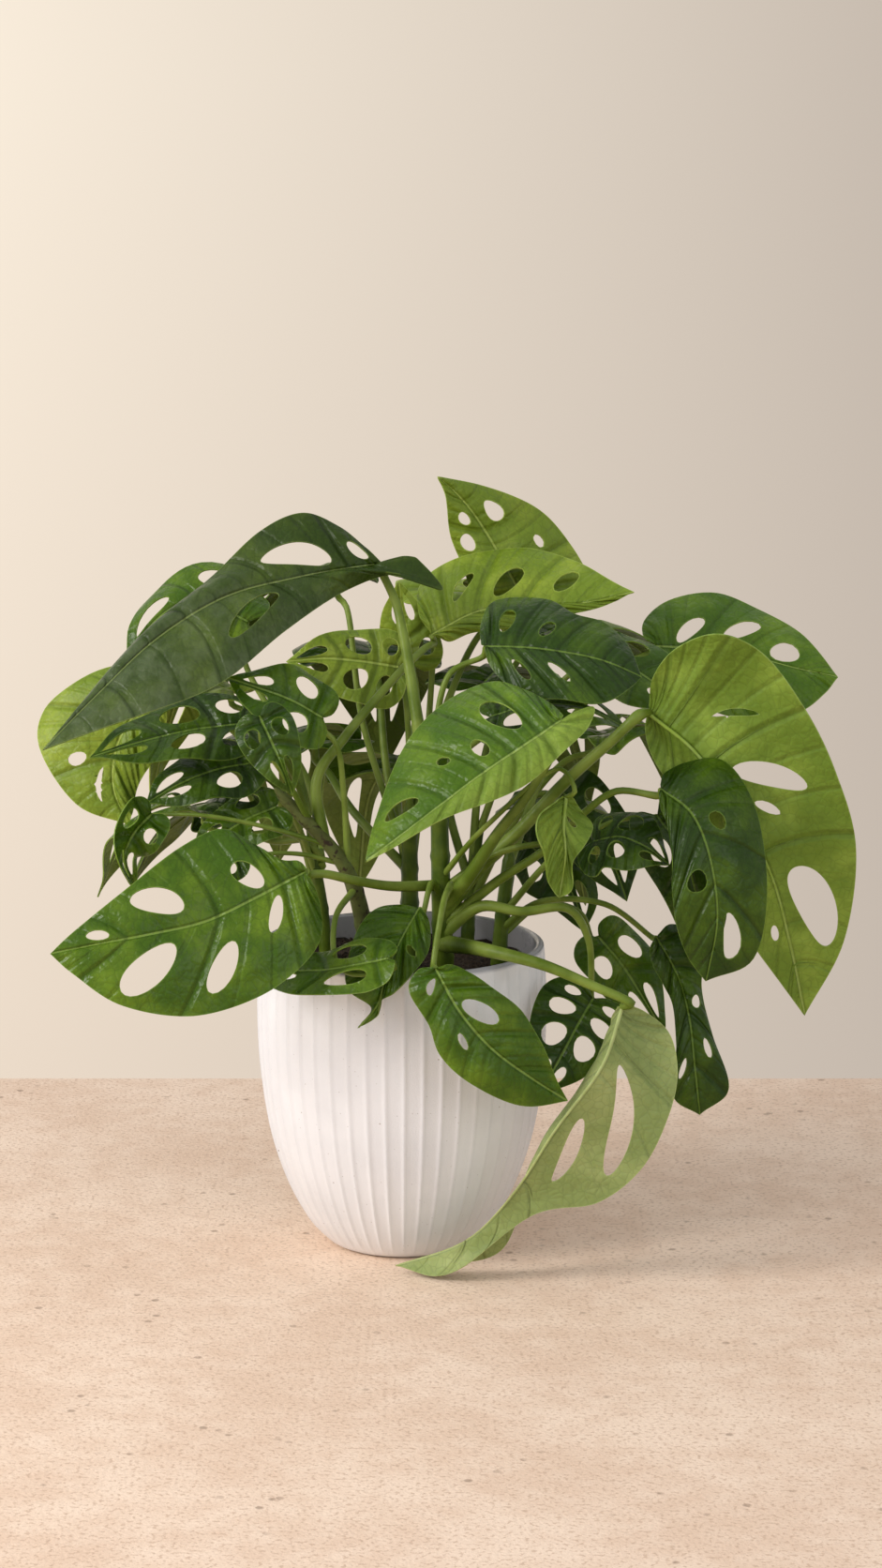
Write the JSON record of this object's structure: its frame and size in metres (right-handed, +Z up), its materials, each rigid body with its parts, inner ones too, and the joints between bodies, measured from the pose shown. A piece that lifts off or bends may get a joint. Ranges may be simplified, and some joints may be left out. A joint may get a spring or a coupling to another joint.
{
  "type": "potted swiss cheese plant",
  "caption": "Bushy potted swiss cheese plant with drooping perforated leaves on arching stalks, in a rounded white ceramic pot with fine upright flutes.",
  "frame": {"origin": "middle of the foot of the pot, on the surface that it stands on", "axes": "+Z up, +X to the right seen from the front, -Y to the front, where the large leaf hangs down to the surface"},
  "size_m": [0.4349, 0.3179, 0.408],
  "materials": {
    "glazed_pot": "satin",
    "soil": "matte",
    "stalk": "satin",
    "leaf_dark": "satin",
    "leaf_mid": "satin",
    "leaf_light": "satin"
  },
  "bodies": {
    "root": {"leaf_high_left": "leaf_dark", "leaf_back_lit": "leaf_light", "leaf_left_upper": "leaf_dark", "leaf_left_lower": "leaf_dark", "leaf_behind_left": "leaf_mid", "leaf_front_left": "leaf_mid", "leaf_pot_left": "leaf_mid", "leaf_pot_centre": "leaf_dark", "leaf_front_hanging": "leaf_dark", "leaf_right_hanging": "leaf_dark", "leaf_floor": "leaf_light", "leaf_right_low_dark": "leaf_dark", "leaf_right_low_back": "leaf_mid", "leaf_right_big": "leaf_light", "leaf_right_back_high": "leaf_mid", "leaf_right_mid": "leaf_mid", "leaf_right_inner": "leaf_dark", "leaf_front_pale_small": "leaf_light", "leaf_front_dark_small": "leaf_dark", "leaf_front_centre": "leaf_light", "leaf_top": "leaf_mid", "leaf_top_pale": "leaf_light", "leaf_top_dark": "leaf_dark", "leaf_centre_dark": "leaf_dark", "leaf_right_centre": "leaf_mid", "leaf_back_left_mid": "leaf_mid", "leaf_left_inner": "leaf_mid", "leaf_left_hanging": "leaf_dark", "leaf_twisted": "leaf_mid", "leaf_small_left": "leaf_dark", "leaf_centre_yellow": "leaf_light", "leaf_low_left": "leaf_mid", "leaf_inner_right": "leaf_dark", "leaf_inner_low": "leaf_dark", "leaf_far_1": "leaf_mid", "leaf_far_2": "leaf_mid", "leaf_far_3": "leaf_dark", "leaf_far_4": "leaf_dark", "leaf_far_5": "leaf_light", "leaf_far_6": "leaf_mid", "leaf_far_7": "leaf_dark", "leaf_far_8": "leaf_mid", "leaf_far_9": "leaf_dark", "leaf_far_10": "leaf_dark", "leaf_far_11": "leaf_light", "leaf_far_12": "leaf_mid", "stem_front": "stalk", "stem_right": "stalk", "stem_left": "stalk", "stem_left_back": "stalk", "stem_back": "stalk", "stem_back_right": "stalk", "pot": "glazed_pot", "soil": "soil"}
  },
  "joints": []
}
